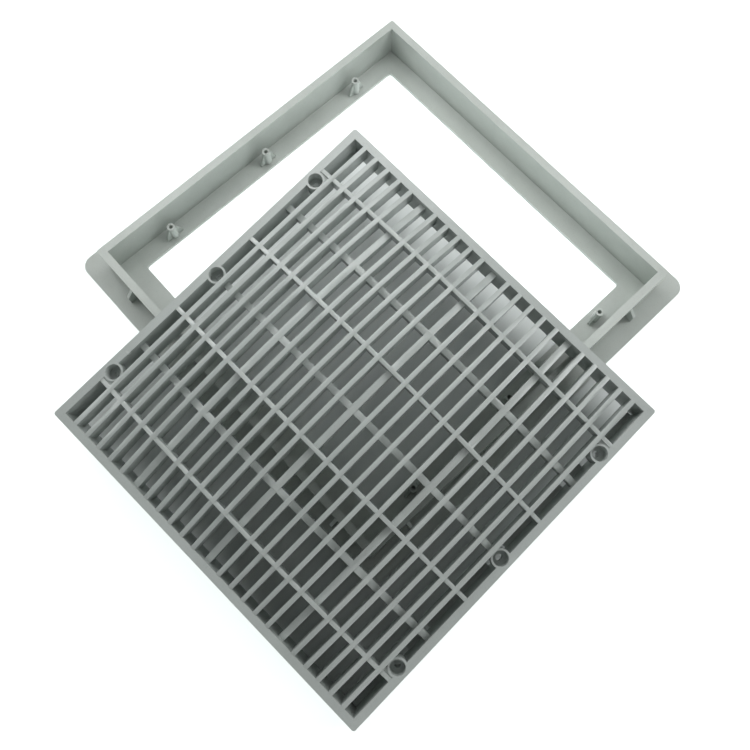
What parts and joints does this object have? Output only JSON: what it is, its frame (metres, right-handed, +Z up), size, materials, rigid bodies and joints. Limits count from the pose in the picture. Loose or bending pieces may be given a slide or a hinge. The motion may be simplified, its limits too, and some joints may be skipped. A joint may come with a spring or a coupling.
{
  "type": "pool main drain cover",
  "caption": "Square moulded pool main drain set: a crowned slotted grate leaning on its low pocketed seat frame with screw posts.",
  "frame": {"origin": "middle of the whole set's plan box, on the surface it lies on, which is the underside of the seat frame's base plate", "axes": "+Z up, out of the pocket; +X and +Y along the seat frame's sides, with the screw posts in two rows along Y; the grate lies towards +X and -Y and is tilted against these axes"},
  "size_m": [0.4062, 0.4284, 0.0891],
  "materials": {
    "frame_plastic": "moulded light grey ABS, satin, plain",
    "grate_plastic": "moulded light grey ABS, satin, plain"
  },
  "bodies": {
    "root": {"seat_frame": "frame_plastic", "grate": "grate_plastic"}
  },
  "joints": []
}
